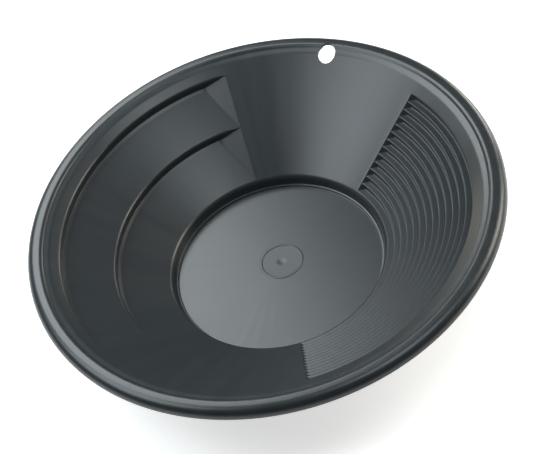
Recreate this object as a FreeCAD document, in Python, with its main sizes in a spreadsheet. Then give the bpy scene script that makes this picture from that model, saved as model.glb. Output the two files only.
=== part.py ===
"""Gold pan: one injection-moulded polypropylene bowl with two banks of riffles.

The pan is a shell of one thickness turned about the Z axis: a flat floor disc, a
low ledge, a steep drop wall, a rounded lip, a conical wall, a flatter strip and a
rolled rim with a turned-down skirt.  Two stretches of the wall are stepped into
riffles.  The outside follows each step, so the wall keeps its thickness there too.

Frame: origin at the centre of the underside, +Z up.  The hang hole is at +Y, the
bank of large riffles is centred on -X and the bank of small riffles on +X.
All sizes are in millimetres and degrees.
"""
import FreeCAD, Part
import math
import os

import Sketcher

DIMENSIONS = {
    # the turned shell, from the middle outwards
    "thickness": 2.4,
    "overall_height": 77.0,
    "floor_radius": 84.4,
    "ledge_rise": 1.5,
    "ledge_radius": 86.0,
    "lip_radius": 87.4,
    "lip_height": 11.4,
    "lip_round": 3.0,
    "wall_slope": 36.0,
    "strip_radius": 172.5,
    "strip_slope": 20.0,
    "bead_radius": 176.8,
    "bead_face_slope": 50.0,
    "bead_round": 5.0,
    "rim_radius": 190.5,
    "skirt_round": 7.6,
    "skirt_height": 7.8,
    # the ring that the mould leaves round the gate, a little towards the hang hole
    "gate_centre": 4.5,
    "ring_outer_radius": 18.1,
    "ring_inner_radius": 15.9,
    "ring_rise": 0.4,
    # the hang hole goes straight down through the wall
    "hole_radius": 7.5,
    "hole_centre": 173.1,
    # the bank of small riffles
    "small_count": 13,
    "small_top": 163.4,
    "small_pitch": 5.65,
    "small_riser": 4.1,
    "small_span": 120.0,
    "small_ramp": 5.0,
    # the bank of large riffles
    "large_count": 2,
    "large_top": 164.7,
    "large_pitch": 37.6,
    "large_riser": 6.2,
    "large_span": 120.0,
    "large_ramp": 21.0,
    # how far the shaping solids reach past what they shape
    "clearance": 2.0,
    "spare_angle": 10.0,
    "block_reach": 60.0,
}

FULL_TURN = 360
HOLE_SECTORS = 12

doc = FreeCAD.newDocument("gold_pan")
dims = doc.addObject("Spreadsheet::Sheet", "dims")
for row, (alias, number) in enumerate(DIMENSIONS.items(), start=1):
    dims.set(f"A{row}", alias)
    dims.set(f"B{row}", str(number))
    dims.setAlias(f"B{row}", alias)
doc.recompute()


def size(formula):
    """Value of a formula on the sheet's aliases."""
    return float(dims.evalExpression(formula))


def bind(sketch, kind, where, formula):
    """Add a dimension to a sketch, bound to a formula on the sheet."""
    index = sketch.addConstraint(Sketcher.Constraint(kind, *where, size(formula)))
    sketch.setExpression(f"Constraints[{index}]", formula)


def draw_outline(sketch, corners, closed):
    """Draw lines through corners, each pinned at a (radius formula, height formula)."""
    points = [FreeCAD.Vector(size(radius), size(height), 0) for radius, height in corners]
    line_count = len(points) if closed else len(points) - 1
    for line in range(line_count):
        ends = points[line], points[(line + 1) % len(points)]
        sketch.addGeometry(Part.LineSegment(*ends), False)
    for line in range(line_count if closed else line_count - 1):
        following = (line + 1) % line_count
        sketch.addConstraint(Sketcher.Constraint("Coincident", line, 2, following, 1))
    for corner, (radius, height) in enumerate(corners):
        line, end = (corner, 1) if corner < line_count else (corner - 1, 2)
        bind(sketch, "DistanceX", (-1, 1, line, end), radius)
        bind(sketch, "DistanceY", (-1, 1, line, end), height)


def round_corner(sketch, line, radius):
    """Round the corner where a line ends, keeping the corner as a point of the sketch."""
    sketch.fillet(line, 2, size(radius), True, True)
    arc = next(i for i in reversed(range(sketch.GeometryCount))
               if isinstance(sketch.Geometry[i], Part.ArcOfCircle))
    bind(sketch, "Radius", (arc,), radius)


def wall_height(radius):
    """Formula for the height of the wall's inner cone at a radius formula."""
    return f"dims.lip_height + ({radius} - dims.lip_radius) * tan(dims.wall_slope)"


# The plain shell: its inner skin is an open line, thickened outwards and turned.
bead_foot = "dims.bead_radius"
bead_foot_height = (wall_height("dims.strip_radius")
                    + " + (dims.bead_radius - dims.strip_radius) * tan(dims.strip_slope)")
bead_top = (f"dims.bead_radius + (dims.overall_height - ({bead_foot_height}))"
            " / tan(dims.bead_face_slope)")
floor_top = "dims.thickness"
ledge_top = "dims.thickness + dims.ledge_rise"
skin_corners = [
    ("0", floor_top),
    ("dims.floor_radius", floor_top),
    ("dims.floor_radius", ledge_top),
    ("dims.ledge_radius", ledge_top),
    ("dims.lip_radius", "dims.lip_height"),
    ("dims.strip_radius", wall_height("dims.strip_radius")),
    (bead_foot, bead_foot_height),
    (bead_top, "dims.overall_height"),
    ("dims.rim_radius", "dims.overall_height"),
    ("dims.rim_radius", "dims.overall_height - dims.skirt_height"),
]
LIP_CORNER, BEAD_CORNER, SKIRT_CORNER = 4, 7, 8

skin = doc.addObject("Sketcher::SketchObject", "skin")
skin.Placement = FreeCAD.Placement(FreeCAD.Vector(), FreeCAD.Rotation(FreeCAD.Vector(1, 0, 0), 90))
draw_outline(skin, skin_corners, closed=False)
round_corner(skin, LIP_CORNER - 1, "dims.lip_round")
round_corner(skin, BEAD_CORNER - 1, "dims.bead_round")
round_corner(skin, SKIRT_CORNER - 1, "dims.skirt_round")
doc.recompute()

section = doc.addObject("Part::Offset2D", "section")
section.Source = skin
section.Mode = "Skin"
section.Join = "Intersection"
section.Fill = True
section.setExpression("Value", "-dims.thickness")

shell = doc.addObject("Part::Revolution", "shell")
shell.Source = section
shell.Axis = FreeCAD.Vector(0, 0, 1)
shell.Angle = FULL_TURN
shell.Solid = True


# The riffles: each bank is a sector of saw-tooth section, trimmed by a ramp at each end.
def stair_corners(bank, across, down):
    """Corners of a bank's saw-tooth section, moved outwards by two formulas.

    From the top, each riffle is a straight riser and a tread back to the wall's cone.
    Two last corners close the outline on the inner side of the cone.
    """
    corners = []
    count = int(size(f"{bank}_count"))
    for index in range(count):
        radius = f"dims.{bank}_top - {index} * dims.{bank}_pitch"
        crest = wall_height(f"({radius})")
        corners.append((radius, crest))
        corners.append((radius, f"{crest} - dims.{bank}_riser"))
    radius = f"dims.{bank}_top - {count} * dims.{bank}_pitch"
    corners.append((radius, wall_height(f"({radius})")))
    for radius, height in [corners[-1], corners[0]]:
        corners.append((f"{radius} - dims.clearance * sin(dims.wall_slope)",
                        f"{height} + dims.clearance * cos(dims.wall_slope)"))
    return [(f"{radius} + {across}", f"{height} - {down}") for radius, height in corners]


def stepped_sector(name, bank, facing, across, down):
    """A body: the saw-tooth section turned about Z, evenly about the bank's own direction."""
    body = doc.addObject("PartDesign::Body", name)
    sketch = body.newObject("Sketcher::SketchObject", f"{name}_outline")
    plane = next(p for p in body.Origin.OriginFeatures if p.Role == "XZ_Plane")
    sketch.AttachmentSupport = (plane, [""])
    sketch.MapMode = "FlatFace"
    draw_outline(sketch, stair_corners(bank, across, down), closed=True)
    turned = body.newObject("PartDesign::Revolution", f"{name}_turned")
    turned.Profile = sketch
    turned.ReferenceAxis = (sketch, ["V_Axis"])
    turned.Midplane = True
    turned.setExpression("Angle", f"dims.{bank}_span + dims.spare_angle")
    body.Placement = FreeCAD.Placement(FreeCAD.Vector(), FreeCAD.Rotation(facing, 0, 0))
    return body


def end_block(name, bank, facing, side, outwards):
    """A block whose near face is the ramp at one end of a bank.

    The ramp is the plane through the straight line up the wall at the bank's end and
    through the foot of a riser, one ramp length along the bank.  The block lies on the
    far side of it, and is moved off it by a formula.
    """
    slope = math.radians(size("wall_slope"))
    turn = math.radians(facing + side * size(f"{bank}_span") / 2)
    up_wall = FreeCAD.Vector(math.cos(slope) * math.cos(turn),
                             math.cos(slope) * math.sin(turn), math.sin(slope))
    out_of_wall = FreeCAD.Vector(math.sin(slope) * math.cos(turn),
                                 math.sin(slope) * math.sin(turn), -math.cos(slope))
    away = FreeCAD.Vector(-math.sin(turn), math.cos(turn), 0) * side
    ramp = size(f"{bank}_ramp")
    middle = size(f"{bank}_top - {bank}_count * {bank}_pitch / 2")
    rise_of_arc = ramp ** 2 * math.sin(slope) / (2 * middle)
    depth = size(f"{bank}_riser") * math.cos(slope) - rise_of_arc
    down_ramp = out_of_wall * depth - away * ramp
    down_ramp.normalize()
    normal = away * depth + out_of_wall * ramp
    normal.normalize()
    along = up_wall * side
    foot = size(f"{bank}_top - {bank}_count * {bank}_pitch")
    corner = FreeCAD.Vector(foot * math.cos(turn), foot * math.sin(turn),
                            size(wall_height(str(foot)).replace("dims.", "")))
    reach = size("block_reach")
    length = size(f"{bank}_count * {bank}_pitch / cos(wall_slope) + 2 * block_reach")
    start = corner - up_wall * reach
    if side < 0:
        start = start + up_wall * length
    start = start - down_ramp * reach + normal * size(outwards)

    block = doc.addObject("Part::Box", name)
    block.setExpression("Length", f"dims.{bank}_count * dims.{bank}_pitch"
                        " / cos(dims.wall_slope) + 2 * dims.block_reach")
    block.setExpression("Width", "2 * dims.block_reach")
    block.setExpression("Height", "dims.block_reach")
    axes = FreeCAD.Matrix(along.x, down_ramp.x, normal.x, start.x,
                          along.y, down_ramp.y, normal.y, start.y,
                          along.z, down_ramp.z, normal.z, start.z,
                          0, 0, 0, 1)
    block.Placement = FreeCAD.Placement(axes)
    return block


def fused(name, pieces):
    """The union of several objects."""
    union = doc.addObject("Part::MultiFuse", name)
    union.Shapes = pieces
    return union


def cut(name, base, tool):
    """One object with another taken away."""
    difference = doc.addObject("Part::Cut", name)
    difference.Base = base
    difference.Tool = tool
    return difference


def bank_solid(bank, facing, kind, across, down, outwards):
    """A bank's sector with both of its ends trimmed to their ramps."""
    sector = stepped_sector(f"{bank}_{kind}_sector", bank, facing, across, down)
    blocks = [end_block(f"{bank}_{kind}_end_{word}", bank, facing, side, outwards)
              for word, side in [("left", 1), ("right", -1)]]
    return cut(f"{bank}_{kind}", sector, fused(f"{bank}_{kind}_ends", blocks))


hollows = []
swells = []
for bank, facing in [("small", 0), ("large", 180)]:
    tread_slope = f"atan(tan(dims.wall_slope) - dims.{bank}_riser / dims.{bank}_pitch)"
    down = f"dims.thickness * (1 - sin({tread_slope})) / cos({tread_slope})"
    hollows.append(bank_solid(bank, facing, "hollow", "0", "0", "0"))
    swells.append(bank_solid(bank, facing, "swell", "dims.thickness", down, "thickness"))

# The ring round the gate stands a little proud of the floor and is rooted in it.
ring_outside = doc.addObject("Part::Cylinder", "ring_outside")
ring_inside = doc.addObject("Part::Cylinder", "ring_inside")
for cylinder, radius in [(ring_outside, "outer"), (ring_inside, "inner")]:
    cylinder.setExpression("Radius", f"dims.ring_{radius}_radius")
    cylinder.setExpression("Height", "dims.thickness / 2 + dims.ring_rise")
    cylinder.setExpression("Placement.Base.y", "dims.gate_centre")
    cylinder.setExpression("Placement.Base.z", "dims.thickness / 2")
gate_ring = cut("gate_ring", ring_outside, ring_inside)

# The hang hole is drilled in equal sectors, so that each face of its wall spans only a
# short stretch of the slope that the hole goes through.
hole_sectors = []
for index in range(HOLE_SECTORS):
    sector = doc.addObject("Part::Cylinder", f"hole_sector_{index + 1}")
    sector.setExpression("Radius", "dims.hole_radius")
    sector.setExpression("Height", "dims.overall_height + dims.clearance")
    sector.Angle = FULL_TURN / HOLE_SECTORS
    middle = FreeCAD.Vector(0, size("hole_centre"), 0)
    turn = FreeCAD.Rotation(index * FULL_TURN / HOLE_SECTORS, 0, 0)
    sector.Placement = FreeCAD.Placement(middle, turn)
    hole_sectors.append(sector)
hole = fused("hang_hole", hole_sectors)
hole.Refine = False

thickened = fused("thickened", [shell, *swells, gate_ring])
stepped = cut("stepped", thickened, fused("all_hollows", hollows))
pan = cut("pan", stepped, hole)
pan.Refine = False
pan.Label = "pan"
doc.recompute()

# Every object has to be sound, and each shaping solid has to change the shell.
for item in doc.Objects:
    if "Invalid" in item.State or "Error" in item.State:
        raise RuntimeError(f"{item.Label} is {item.State}")
if pan.Shape.isNull() or not pan.Shape.isValid() or len(pan.Shape.Solids) != 1:
    raise RuntimeError("the pan isn't one valid solid")
for tool in [*hollows, hole]:
    if thickened.Shape.common(tool.Shape).Volume < 1:
        raise RuntimeError(f"{tool.Label} cuts nothing")
for swell in swells:
    if swell.Shape.cut(shell.Shape).Volume < 1:
        raise RuntimeError(f"{swell.Label} adds nothing")

os.makedirs("parts", exist_ok=True)
box = pan.Shape.optimalBoundingBox()
print(f"pan {box.XLength:.2f} x {box.YLength:.2f} x {box.ZLength:.2f} mm,"
      f" z from {box.ZMin:.2f}, {pan.Shape.Volume / 1000:.1f} cm3")
pan.Shape.exportStep("parts/pan.step")
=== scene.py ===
"""Visual model of a gold pan: one black polypropylene moulding with two banks of riffles.

The pan is one closed skin, worked out on a grid of rows (round the section, from the
middle of the floor over the rim and back underneath) and columns (round the axis).
Lengths are in millimetres until the mesh is made, and angles in radians unless a name
says degrees.  +Z is up and the hang hole is at +Y.
"""
import math
import bpy
import numpy as np
from mathutils import Matrix, Vector


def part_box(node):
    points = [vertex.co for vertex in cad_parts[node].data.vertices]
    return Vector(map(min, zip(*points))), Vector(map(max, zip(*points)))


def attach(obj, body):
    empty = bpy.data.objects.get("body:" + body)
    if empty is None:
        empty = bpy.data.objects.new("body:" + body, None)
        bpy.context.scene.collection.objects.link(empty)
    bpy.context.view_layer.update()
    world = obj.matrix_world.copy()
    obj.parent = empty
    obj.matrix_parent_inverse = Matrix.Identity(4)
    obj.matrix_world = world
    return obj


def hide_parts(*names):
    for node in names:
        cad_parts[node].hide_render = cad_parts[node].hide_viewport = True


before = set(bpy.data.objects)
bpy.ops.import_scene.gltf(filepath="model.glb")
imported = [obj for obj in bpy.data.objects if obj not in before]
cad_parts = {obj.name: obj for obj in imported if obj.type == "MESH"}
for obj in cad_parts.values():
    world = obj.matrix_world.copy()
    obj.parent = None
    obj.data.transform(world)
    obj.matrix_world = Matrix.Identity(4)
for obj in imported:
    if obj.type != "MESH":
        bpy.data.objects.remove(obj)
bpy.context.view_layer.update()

MM = 0.001

# ------------------------------------------------------------------ sizes, in mm
low_corner, high_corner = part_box("pan")
RIM_RADIUS = (high_corner.x - low_corner.x) / 2 / MM
OVERALL_HEIGHT = (high_corner.z - low_corner.z) / MM
THICKNESS = 2.4
FLOOR_RADIUS = 84.4
LEDGE_RADIUS = 86.0
LEDGE_RISE = 1.5
LIP_RADIUS = 87.4
LIP_HEIGHT = 11.4
SLOPE = math.radians(36.0)
STRIP_RADIUS = 172.5
STRIP_SLOPE = math.radians(20.0)
BEAD_RADIUS = 176.8
BEAD_FACE_SLOPE = math.radians(50.0)
SKIRT_HEIGHT = 7.8
HOLE_RADIUS = 7.5
HOLE_CENTRE = 173.1
GATE_CENTRE = 4.5
RING_RADIUS = 17.0
RING_WIDTH = 2.2
RING_RISE = 0.4
GATE_DIP = 0.2

# Each bank: the direction it is centred on, half its span, how many riffles, the radius
# of its top edge, the pitch towards the middle, the height of a riser, the length of
# its end ramps, how many extra rows each flat and each tread gets, and how far the
# rounds of its crests and of its other edges reach.
BANKS = {
    "small": dict(facing=0.0, half=math.radians(60.0), count=13, top=163.4, pitch=5.65,
                  riser=4.1, ramp=5.0, flat_rows=0, tread_rows=0, crest=0.7, edge=0.35),
    "large": dict(facing=math.pi, half=math.radians(60.0), count=2, top=164.7, pitch=37.6,
                  riser=6.2, ramp=21.0, flat_rows=6, tread_rows=11, crest=1.8, edge=0.8),
}
# Both banks and the plain wall have the same number of keys.  The plain wall's run evenly
# from the first radius to this far above the lip's corner; a bank's spare ones are
# bunched within a short way below its last crest.
WALL_KEYS = 42
FIRST_KEY_RADIUS = 164.0
LAST_KEY_ALONG = 3.0
SPARE_KEYS_SPAN = 0.7
SPARE_KEYS_REACH = 0.05
# A valley may be this full of its full depth, and a riffle never closes below this share.
VALLEY_FILL = 0.94
LEAST_SPREAD = 0.03
# Columns across the plain wall's half, along an end ramp, and across a bank's half.
PLAIN_COLUMNS = 16
RAMP_COLUMNS = [0, 0.06, 0.25, 0.5, 0.75, 0.92, 1.0, 1.08, 1.25]
MIDDLE_COLUMNS = 37
# The share of a side that the rounds at its two ends may use.
ROUNDED_SHARE = 0.98
# The floor's circles are centred on the gate inside this radius.
GATE_CIRCLES = 20.0
QUARTER = math.pi / 2


# ------------------------------------------------------------------ the wall's own measures
def along_wall(radius):
    """Distance up the wall's cone, from the lip's corner, of a radius on the cone."""
    return (radius - LIP_RADIUS) / math.cos(SLOPE)


def from_wall(along, depth):
    """Radius and height of a point some way up the wall and some depth below its cone."""
    radius = LIP_RADIUS + along * math.cos(SLOPE) + depth * math.sin(SLOPE)
    height = LIP_HEIGHT + along * math.sin(SLOPE) - depth * math.cos(SLOPE)
    return radius, height


# ------------------------------------------------------------------ columns round the axis
def column_plan():
    """What each column is: its bank, side, and shares of ramp, middle and plain wall.

    Going round, half a bank is a plain stretch (plain share 1 to 0), then its end ramp
    (ramp share 0 to a little over 1), then its middle (middle share 0 to 1).
    """
    plain = np.linspace(1, 0, PLAIN_COLUMNS + 1)[:-1]
    middle = np.linspace(0, 1, MIDDLE_COLUMNS + 1)[1:]
    half = [(0.0, 0.0, share) for share in plain]
    half += [(share, 0.0, 0.0) for share in RAMP_COLUMNS]
    half += [(RAMP_COLUMNS[-1], share, 0.0) for share in middle]
    columns = []
    for bank in BANKS:
        columns += [(bank == "small", -1, *entry) for entry in half]
        columns += [(bank == "small", 1, *entry) for entry in reversed(half[1:-1])]
    return np.array(columns, float).T


IN_SMALL, SIDE, RAMP_SHARE, MIDDLE_SHARE, PLAIN_SHARE = column_plan()


def per_column(field):
    """A bank's value for every column."""
    return np.where(IN_SMALL > 0.5, BANKS["small"][field], BANKS["large"][field])


def column_angle(radius):
    """Direction of every column at the radius of each row.

    Inside a bank's end a column keeps its distance from the end line, so the ramp's foot
    runs along one of them: angle from the bank's centre = half - asin(distance / radius).
    """
    reach = np.clip(radius, LIP_RADIUS, STRIP_RADIUS)
    inside = per_column("half") - np.arcsin(RAMP_SHARE * per_column("ramp") / reach)
    plain_half = QUARTER - per_column("half")
    off_centre = inside * (1 - MIDDLE_SHARE) + plain_half * PLAIN_SHARE
    return per_column("facing") + SIDE * off_centre


def ramp_depth(radius, lead):
    """Depth of a bank's end ramp below the wall's cone, for every point.

    The ramp is a plane through the bank's end line.  At distance s in from that line it
    is s * fall below the cone's tangent plane, and the cone itself has risen by
    s^2 * sin(slope) / (2 * radius).  lead moves the end line outwards.
    """
    ramp, riser = per_column("ramp"), per_column("riser")
    middle = per_column("top") - per_column("count") * per_column("pitch") / 2
    off_centre = SIDE * (column_angle(radius) - per_column("facing"))
    inside = np.maximum(radius * np.sin(per_column("half") - off_centre) + lead, 0)
    fall = riser * math.cos(SLOPE) / ramp - ramp * math.sin(SLOPE) / (2 * middle)
    return inside * fall + inside ** 2 * math.sin(SLOPE) / (2 * radius)


# ------------------------------------------------------------------ the wall's section
CREST, FLAT, TREAD, BELOW = range(4)


def wall_keys(bank):
    """A bank's keys from its top edge down: riffle number, share, and kind, as columns.

    Each riffle has a crest, a flat where its valley or its ramp is (share 0 at the foot
    of the riser, 1 where the tread starts) and a tread (share 0 to 1 up to the next crest).
    """
    flat_shares = np.linspace(0, 1, bank["flat_rows"] + 2)
    tread_shares = np.linspace(0, 1, bank["tread_rows"] + 2)[1:-1]
    keys = []
    for index in range(bank["count"]):
        keys.append((index, 0, CREST))
        keys += [(index, share, FLAT) for share in flat_shares]
        keys += [(index, share, TREAD) for share in tread_shares]
    keys.append((bank["count"], 0, CREST))
    spare = WALL_KEYS - len(keys)
    keys += [(bank["count"], share, BELOW) for share in np.linspace(0, 1, spare + 2)[1:-1]]
    return (values[:, None] for values in np.array(keys, float).T)


def wall_section(bank, outside):
    """Distance up the wall and depth of a bank's keys, as rows of keys by columns.

    Each riffle is clipped at its ramp: fill = the ramp's depth / the riffle's full depth,
    and the valley's flat lies between the riser and the tread at that share of the depth.
    The outside follows the inside one thickness away, measured square to every face.
    """
    index, share, kind = wall_keys(bank)
    step = bank["pitch"] / math.cos(SLOPE)
    full_depth = bank["riser"] * math.cos(SLOPE)
    riser_run = bank["riser"] * math.sin(SLOPE)
    skin_depth = shift = crest_depth = lead = 0.0
    if outside:
        tread_slope = math.atan(math.tan(SLOPE) - bank["riser"] / bank["pitch"])
        down = THICKNESS * (1 - math.sin(tread_slope)) / math.cos(tread_slope)
        skin_depth = THICKNESS
        shift = THICKNESS * math.cos(SLOPE) - down * math.sin(SLOPE)
        crest_depth = THICKNESS * math.sin(SLOPE) + down * math.cos(SLOPE)
        fall = full_depth / bank["ramp"]
        lead = THICKNESS * (math.hypot(1, fall) - 1) / fall

    crest = along_wall(bank["top"]) - index * step
    next_crest = crest - step
    below = crest - SPARE_KEYS_SPAN * share
    along = crest - share * step + 0 * SIDE
    depth = skin_depth + 0 * along
    # where a key lies sets its depth and the other way round; five rounds settle it
    for _ in range(5):
        radius, _height = from_wall(along, depth)
        room = skin_depth + ramp_depth(radius, lead)
        fill = np.clip((room - crest_depth) / full_depth, 0, VALLEY_FILL)
        spread = np.maximum(fill, LEAST_SPREAD)
        foot = crest - riser_run * spread
        start = next_crest + (step - riser_run) * spread
        along = shift + np.select(
            [kind == CREST, kind == FLAT, kind == TREAD],
            [crest, foot + (start - foot) * share, start + (next_crest - start) * share],
            below)
        fullness = np.select([kind == FLAT, kind == TREAD], [fill, fill * (1 - share)], 0)
        depth = np.minimum(crest_depth, room) + fullness * full_depth
        depth = np.where(kind == BELOW, skin_depth, depth)
    even = np.linspace(along_wall(FIRST_KEY_RADIUS), LAST_KEY_ALONG, WALL_KEYS)[:, None]
    ease = PLAIN_SHARE ** 2 * (3 - 2 * PLAIN_SHARE)
    return along * (1 - ease) + even * ease, depth


def wall_corners(outside):
    """Radius and height of the wall's keys, and their rounds, from the lip up."""
    sections = [wall_section(BANKS[name], outside) for name in ("small", "large")]
    (small_along, small_depth), (large_along, large_depth) = sections
    along = np.where(IN_SMALL > 0.5, small_along, large_along)
    depth = np.where(IN_SMALL > 0.5, small_depth, large_depth)
    small_kind, large_kind = (list(wall_keys(BANKS[name]))[2] for name in ("small", "large"))
    kind = np.where(IN_SMALL > 0.5, small_kind, large_kind)
    reach = np.where(kind == CREST, per_column("crest"), per_column("edge"))
    reach = np.where(kind == BELOW, SPARE_KEYS_REACH, reach)
    points = np.stack(from_wall(along, depth), axis=-1)
    return points[::-1], reach[::-1]


# ------------------------------------------------------------------ the whole section
def offset_corners(corners, distance):
    """Corners of a line moved sideways: corner + distance * (n1 + n2) / (1 + n1 . n2)."""
    run = np.diff(corners, axis=0)
    run /= np.linalg.norm(run, axis=1, keepdims=True)
    normal = np.stack([run[:, 1], -run[:, 0]], axis=1)
    first, second = normal[:-1], normal[1:]
    dot = np.sum(first * second, axis=1, keepdims=True)
    return corners[1:-1] + distance * (first + second) / (1 + dot)


def section_corners():
    """The section's corners in order, with the round and number of rows at each.

    Returns points (corners by columns by 2), how far each round reaches along both of
    its sides, and how many rows it has.
    """
    floor = THICKNESS
    ledge = THICKNESS + LEDGE_RISE
    strip_height = LIP_HEIGHT + (STRIP_RADIUS - LIP_RADIUS) * math.tan(SLOPE)
    bead_height = strip_height + (BEAD_RADIUS - STRIP_RADIUS) * math.tan(STRIP_SLOPE)
    bead_top = BEAD_RADIUS + (OVERALL_HEIGHT - bead_height) / math.tan(BEAD_FACE_SLOPE)
    skirt_end = OVERALL_HEIGHT - SKIRT_HEIGHT
    ring_in, ring_out = RING_RADIUS - RING_WIDTH / 2, RING_RADIUS + RING_WIDTH / 2
    middle = [
        (1.4, floor - GATE_DIP, 0.6, 3), (4.0, floor, 1.2, 4),
        (ring_in, floor, 0.15, 2), (ring_in + 0.35, floor + RING_RISE, 0.2, 3),
        (ring_out - 0.35, floor + RING_RISE, 0.2, 3), (ring_out, floor, 0.15, 2),
        (52.0, floor, 0, 1), (FLOOR_RADIUS, floor, 0.5, 3),
        (FLOOR_RADIUS + 0.15, ledge, 0.4, 3), (LEDGE_RADIUS, ledge, 0.6, 4),
        (LIP_RADIUS, LIP_HEIGHT, 2.6, 10),
    ]
    rim = [
        (STRIP_RADIUS, strip_height, 1.3, 4), (BEAD_RADIUS, bead_height, 0.6, 4),
        (bead_top, OVERALL_HEIGHT, 2.33, 9), (RIM_RADIUS, OVERALL_HEIGHT, 7.3, 14),
        (RIM_RADIUS, skirt_end, 0.45, 4), (RIM_RADIUS - THICKNESS, skirt_end, 0.5, 4),
    ]
    inner_line = np.array([entry[:2] for entry in middle[-4:] + rim[:-1]])
    outer_line = offset_corners(inner_line, THICKNESS)[::-1]
    rounds = [(5.0, 9), (1.2, 5), (0.5, 3), (1.3, 3), (2.5, 6), (0.8, 3), (0.4, 2)]
    beneath = [(*corner, *round_) for corner, round_ in zip(outer_line, rounds)]
    foot_radius = outer_line[-1][0]
    base = [(foot_radius, 0.0, 0.6, 3), (52.0, 0.0, 0, 1), (18.0, 0.0, 0, 1), (1.5, 0.0, 0, 1)]
    above_wall = 4

    columns = len(SIDE)
    parts = []
    reaches = []
    counts = []

    def add_plain(entries):
        for radius, height, reach, rows in entries:
            parts.append(np.broadcast_to([radius, height], (1, columns, 2)))
            reaches.append(np.full((1, columns), reach))
            counts.append(rows)

    def add_wall(points, reach, rows):
        parts.append(points)
        reaches.append(reach)
        counts.extend([rows] * len(points))

    add_plain(middle)
    add_wall(*wall_corners(outside=False), rows=4)
    add_plain(rim)
    add_plain(beneath[:above_wall])
    points, reach = wall_corners(outside=True)
    add_wall(points[::-1], reach[::-1], rows=2)
    add_plain(beneath[above_wall:])
    add_plain(base)
    return np.concatenate(parts), np.concatenate(reaches), np.array(counts)


def rounded_rows(points, reach, counts):
    """Rows of the skin: each corner becomes a circular arc that joins its two sides.

    The arc is a rational quadratic curve with the corner as its middle control point,
    weighted by the cosine of half the turn.  Two arcs share the side between them in
    proportion to how far they would reach along it.
    """
    padded = np.concatenate([points[:1] * [0.5, 1], points, points[-1:] * [0.5, 1]])
    wanted = np.concatenate([reach[:1], reach, reach[-1:]]) + 0.001
    side = np.diff(padded, axis=0)
    length = np.linalg.norm(side, axis=-1)
    direction = side / length[..., None]
    room = ROUNDED_SHARE * length / (wanted[:-1] + wanted[1:])
    room_ahead = room * wanted[:-1]
    room_behind = room * wanted[1:]
    cut = np.minimum(wanted[1:-1], np.minimum(room_behind[:-1], room_ahead[1:]))[..., None]
    start = points - direction[:-1] * cut
    finish = points + direction[1:] * cut
    turn = np.sum(direction[:-1] * direction[1:], axis=-1, keepdims=True)
    weight = np.sqrt(np.clip((1 + turn) / 2, 0, 1))
    which = np.repeat(np.arange(len(counts)), counts)
    share = np.concatenate([np.linspace(0, 1, n) if n > 1 else [0.5] for n in counts])
    t = share[:, None, None]
    first, middle, last = (1 - t) ** 2, 2 * t * (1 - t) * weight[which], t ** 2
    total = first * start[which] + middle * points[which] + last * finish[which]
    return total / (first + middle + last)


def grid_faces(rows, columns):
    """Corner numbers of the skin's quads, and of the triangles that close its two poles."""
    row, column = np.meshgrid(np.arange(rows - 1), np.arange(columns), indexing="ij")
    across = (column + 1) % columns
    quads = np.stack([row * columns + column, (row + 1) * columns + column,
                      (row + 1) * columns + across, row * columns + across], axis=-1)
    around = np.arange(columns)
    following = (around + 1) % columns
    top_pole = np.full(columns, rows * columns)
    last = (rows - 1) * columns
    top = np.stack([top_pole, around, following], axis=-1)
    bottom = np.stack([top_pole + 1, last + following, last + around], axis=-1)
    return quads.reshape(-1, 4).tolist() + top.tolist() + bottom.tolist()


def pan_skin():
    """The pan without its hang hole, as a mesh in metres.

    A point is x = r cos(a), y = r sin(a) + g, z = h: r and h are the section's radius and
    height, a the column's direction, and g the row's shift towards the gate, which is 0
    from the floor's edge out and grows evenly inwards until the circles centre on it.
    """
    section = rounded_rows(*section_corners())
    radius, height = section[..., 0], section[..., 1]
    angle = column_angle(radius)
    near_gate = np.clip((FLOOR_RADIUS - radius) / (FLOOR_RADIUS - GATE_CIRCLES), 0, 1)
    grid = np.stack([radius * np.cos(angle), radius * np.sin(angle) + GATE_CENTRE * near_gate,
                     height], axis=-1)
    poles = [[0, GATE_CENTRE, THICKNESS - GATE_DIP], [0, GATE_CENTRE, 0]]
    vertices = np.concatenate([grid.reshape(-1, 3), poles]) * MM
    mesh = bpy.data.meshes.new("pan_moulding")
    mesh.from_pydata(vertices.tolist(), [], grid_faces(*radius.shape))
    mesh.validate()
    return mesh


def hole_cutter():
    """A closed vertical cylinder where the hang hole goes: angle by height."""
    sides = 96
    bottom, top = 55.0, 90.0
    around = np.linspace(0, 2 * math.pi, sides, endpoint=False)
    ring = np.stack([HOLE_RADIUS * np.cos(around),
                     HOLE_CENTRE + HOLE_RADIUS * np.sin(around), 0 * around], axis=-1)
    low, high = ring + [0, 0, bottom], ring + [0, 0, top]
    index = np.arange(sides)
    following = (index + 1) % sides
    walls = np.stack([index, following, following + sides, index + sides], axis=-1)
    mesh = bpy.data.meshes.new("hole_cutter")
    faces = walls.tolist() + [index[::-1].tolist(), (index + sides).tolist()]
    mesh.from_pydata((np.concatenate([low, high]) * MM).tolist(), [], faces)
    return bpy.data.objects.new("hole_cutter", mesh)


def make_pan():
    """The pan: its skin with the hang hole cut through."""
    pan = bpy.data.objects.new("pan_moulding", pan_skin())
    cutter = hole_cutter()
    for piece in (pan, cutter):
        bpy.context.collection.objects.link(piece)
    hole = pan.modifiers.new("hole", "BOOLEAN")
    hole.object = cutter
    hole.operation = "DIFFERENCE"
    hole.solver = "EXACT"
    graph = bpy.context.evaluated_depsgraph_get()
    solid = bpy.data.meshes.new_from_object(pan.evaluated_get(graph))
    pan.modifiers.clear()
    pan.data = solid
    bpy.data.objects.remove(cutter)
    solid.shade_smooth()
    solid.set_sharp_from_angle(angle=math.radians(38))
    weighting = pan.modifiers.new("flat faces stay flat", "WEIGHTED_NORMAL")
    weighting.keep_sharp = True
    weighting.mode = "FACE_AREA"
    return pan


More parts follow.
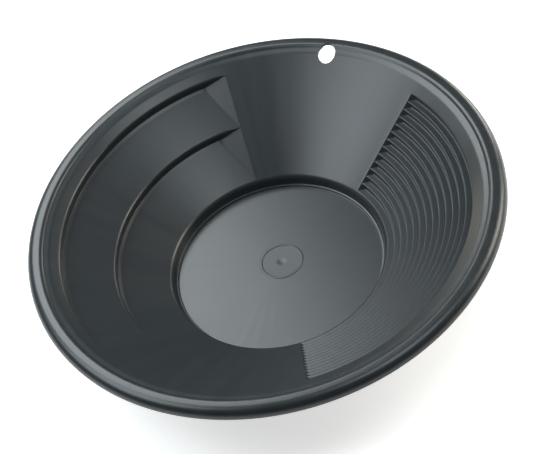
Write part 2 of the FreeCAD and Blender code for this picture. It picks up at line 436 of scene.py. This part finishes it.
# ------------------------------------------------------------------ materials
def linear(code):
    """Linear RGBA of an sRGB hex colour."""
    parts = [int(code[i:i + 2], 16) / 255 for i in (1, 3, 5)]
    return [p / 12.92 if p <= 0.04045 else ((p + 0.055) / 1.055) ** 2.4 for p in parts] + [1.0]


def add_node(tree, kind, settings=None, inputs=None):
    """A node with its settings and its inputs, each a value or another node's socket."""
    node = tree.nodes.new(kind)
    for name, value in (settings or {}).items():
        setattr(node, name, value)
    for name, value in (inputs or {}).items():
        if isinstance(value, bpy.types.NodeSocket):
            tree.links.new(value, node.inputs[name])
        else:
            node.inputs[name].default_value = value
    return node


def new_material(name):
    """An empty node material and its tree."""
    material = bpy.data.materials.new(name)
    material.use_nodes = True
    material.node_tree.nodes.clear()
    return material, material.node_tree


def moulded_polypropylene():
    """Black polypropylene, injection moulded against a satin steel tool.

    The melt runs out from the gate, so its marks are long towards the rim and narrow
    round it.  The skin shows the tool's fine grain, a slow waviness left by cooling, and
    a few hairline scuffs from handling.
    """
    material, tree = new_material("moulded_polypropylene")
    place = add_node(tree, "ShaderNodeTexCoord").outputs["Object"]

    # polar coordinates about the axis, which is near the gate: the turn and the distance
    parts = add_node(tree, "ShaderNodeSeparateXYZ", inputs={"Vector": place}).outputs
    turn = add_node(tree, "ShaderNodeMath", {"operation": "ARCTAN2"},
                    {0: parts["Y"], 1: parts["X"]}).outputs[0]
    flat = add_node(tree, "ShaderNodeVectorMath", {"operation": "MULTIPLY"},
                    {0: place, 1: (1, 1, 0)}).outputs[0]
    away = add_node(tree, "ShaderNodeVectorMath", {"operation": "LENGTH"},
                    {0: flat}).outputs["Value"]
    # both ends of the turn are the same direction, so the marks use its sine and cosine
    east = add_node(tree, "ShaderNodeMath", {"operation": "COSINE"}, {0: turn}).outputs[0]
    north = add_node(tree, "ShaderNodeMath", {"operation": "SINE"}, {0: turn}).outputs[0]
    flow_place = add_node(tree, "ShaderNodeCombineXYZ",
                          inputs={"X": east, "Y": north, "Z": away}).outputs[0]
    # flow marks: about 4 degrees wide and 70 mm long
    flow_scaled = add_node(tree, "ShaderNodeVectorMath", {"operation": "MULTIPLY"},
                           {0: flow_place, 1: (14, 14, 1 / 0.070)}).outputs[0]
    flow = add_node(tree, "ShaderNodeTexNoise", inputs={
        "Vector": flow_scaled, "Scale": 1.0, "Detail": 3.0, "Roughness": 0.55}).outputs["Fac"]
    # cooling waves, some 45 mm across, and the tool's grain, some 0.4 mm across
    waves = add_node(tree, "ShaderNodeTexNoise", inputs={
        "Vector": place, "Scale": 1 / 0.045, "Detail": 1.0, "Roughness": 0.4}).outputs["Fac"]
    grain = add_node(tree, "ShaderNodeTexNoise", inputs={
        "Vector": place, "Scale": 1 / 0.0004, "Detail": 2.0}).outputs["Fac"]
    # hairline scuffs: long cells about 1.5 mm by 25 mm, of which only the thin edges show
    scuff_place = add_node(tree, "ShaderNodeMapping", inputs={
        "Vector": place, "Rotation": (0, 0, 0.7), "Scale": (1 / 0.0015, 1 / 0.025, 1 / 0.010),
    }).outputs[0]
    scuff_noise = add_node(tree, "ShaderNodeTexNoise", inputs={
        "Vector": scuff_place, "Scale": 1.0, "Detail": 1.0}).outputs["Fac"]
    scuffs = add_node(tree, "ShaderNodeMapRange", inputs={
        "Value": scuff_noise, "From Min": 0.68, "From Max": 0.76}).outputs[0]

    pigment = add_node(tree, "ShaderNodeValToRGB", inputs={"Fac": flow})
    pigment.color_ramp.elements[0].position = 0.3
    pigment.color_ramp.elements[0].color = linear("#282C2F")
    pigment.color_ramp.elements[1].position = 0.7
    pigment.color_ramp.elements[1].color = linear("#2B2F31")
    satin = add_node(tree, "ShaderNodeMapRange", inputs={
        "Value": flow, "From Min": 0.3, "From Max": 0.7, "To Min": 0.31, "To Max": 0.34,
    }).outputs[0]
    scuffed = add_node(tree, "ShaderNodeMath", {"operation": "MULTIPLY_ADD"},
                       {0: scuffs, 1: 0.06, 2: satin}).outputs[0]
    wavy = add_node(tree, "ShaderNodeBump", inputs={
        "Strength": 1.0, "Distance": 0.00010, "Height": waves}).outputs[0]
    grained = add_node(tree, "ShaderNodeBump", inputs={
        "Strength": 0.35, "Distance": 0.00001, "Height": grain, "Normal": wavy}).outputs[0]
    shader = add_node(tree, "ShaderNodeBsdfPrincipled", inputs={
        "Base Color": pigment.outputs["Color"], "Roughness": scuffed, "IOR": 1.49,
        "Normal": grained})
    add_node(tree, "ShaderNodeOutputMaterial", inputs={"Surface": shader.outputs["BSDF"]})
    return material


def opal_acrylic():
    """Matt opal acrylic, the top of a light table."""
    material, tree = new_material("opal_acrylic")
    shader = add_node(tree, "ShaderNodeBsdfPrincipled", inputs={
        "Base Color": linear("#F2F2F0"), "Roughness": 0.8,
        "Emission Color": linear("#FFFFFF"), "Emission Strength": 0.62})
    add_node(tree, "ShaderNodeOutputMaterial", inputs={"Surface": shader.outputs["BSDF"]})
    return material


# ------------------------------------------------------------------ studio
CAMERA_AZIMUTH = math.radians(32.8)
CAMERA_ELEVATION = math.radians(47.55)
CAMERA_ROLL = math.radians(-18.53)
CAMERA_DISTANCE = 1252.1
CAMERA_AIM = (-0.38, -22.1, 0)
LENS = 108.8
SENSOR = 36.0


def add_camera():
    """A camera at the viewing angle: azimuth round from -Y, elevation, and roll."""
    turn = Matrix.Rotation(CAMERA_AZIMUTH, 3, "Z")
    rim_centre = Vector((0, 0, OVERALL_HEIGHT))
    level = Vector((0, -math.cos(CAMERA_ELEVATION), math.sin(CAMERA_ELEVATION)))
    place = rim_centre + turn @ level * CAMERA_DISTANCE
    target = rim_centre + turn @ Vector(CAMERA_AIM)
    forward = (target - place).normalized()
    right = forward.cross(Vector((0, 0, 1))).normalized()
    up = right.cross(forward)
    across = right * math.cos(CAMERA_ROLL) + up * math.sin(CAMERA_ROLL)
    upward = up * math.cos(CAMERA_ROLL) - right * math.sin(CAMERA_ROLL)
    data = bpy.data.cameras.new("camera")
    data.sensor_fit = "HORIZONTAL"
    data.sensor_width = SENSOR
    data.lens = LENS
    camera = bpy.data.objects.new("camera", data)
    axes = Matrix((across, upward, -forward)).transposed()
    camera.matrix_world = Matrix.Translation(place * MM) @ axes.to_4x4()
    bpy.context.collection.objects.link(camera)
    bpy.context.scene.camera = camera


# Six square soft boxes on a dome: azimuth round from -Y and elevation in degrees, width
# in mm, power in watts, and colour.
SOFT_BOX_DISTANCE = 900.0
DOME_HEIGHT = 50.0
SOFT_BOXES = {
    "back": (236, 48, 530, 6.6, "#F4FCFF"),
    "left": (298, 50, 520, 4.8, "#F2FAFF"),
    "right": (128, 26, 400, 4.4, "#FFFBF0"),
    "right_low": (163, 10, 270, 1.9, "#FFFCF2"),
    "back_low": (230, 10, 270, 0.6, "#FFF8E0"),
    "top": (90, 68, 400, 2.2, "#F0FAFF"),
}


def add_soft_boxes():
    """Square soft boxes on a dome round the pan's middle."""
    middle = Vector((0, 0, DOME_HEIGHT))
    for name, (azimuth, elevation, width, power, code) in SOFT_BOXES.items():
        data = bpy.data.lights.new(name, "AREA")
        data.shape = "SQUARE"
        data.size = width * MM
        data.energy = power
        data.color = linear(code)[:3]
        turn, rise = math.radians(azimuth), math.radians(elevation)
        direction = Vector((math.sin(turn) * math.cos(rise),
                            -math.cos(turn) * math.cos(rise), math.sin(rise)))
        box = bpy.data.objects.new(name, data)
        box.location = (middle + direction * SOFT_BOX_DISTANCE) * MM
        box.rotation_euler = direction.to_track_quat("Z", "Y").to_euler()
        bpy.context.collection.objects.link(box)


def add_floor():
    """A pale floor, 8 m square, that runs well past the view."""
    half = 4.0
    mesh = bpy.data.meshes.new("floor")
    corners = [(-half, -half, 0), (half, -half, 0), (half, half, 0), (-half, half, 0)]
    mesh.from_pydata(corners, [], [(0, 1, 2, 3)])
    floor = bpy.data.objects.new("floor", mesh)
    floor.data.materials.append(opal_acrylic())
    bpy.context.collection.objects.link(floor)


def set_world(code, strength):
    """An even surround."""
    world = bpy.data.worlds.new("surround")
    world.use_nodes = True
    background = world.node_tree.nodes["Background"]
    background.inputs["Color"].default_value = linear(code)
    background.inputs["Strength"].default_value = strength
    bpy.context.scene.world = world


pan = make_pan()
pan.data.materials.clear()
pan.data.materials.append(moulded_polypropylene())
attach(pan, "root")
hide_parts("pan")

add_floor()
set_world("#FFFFFF", 0.0)
add_soft_boxes()
add_camera()
bpy.context.scene.view_settings.view_transform = "Standard"
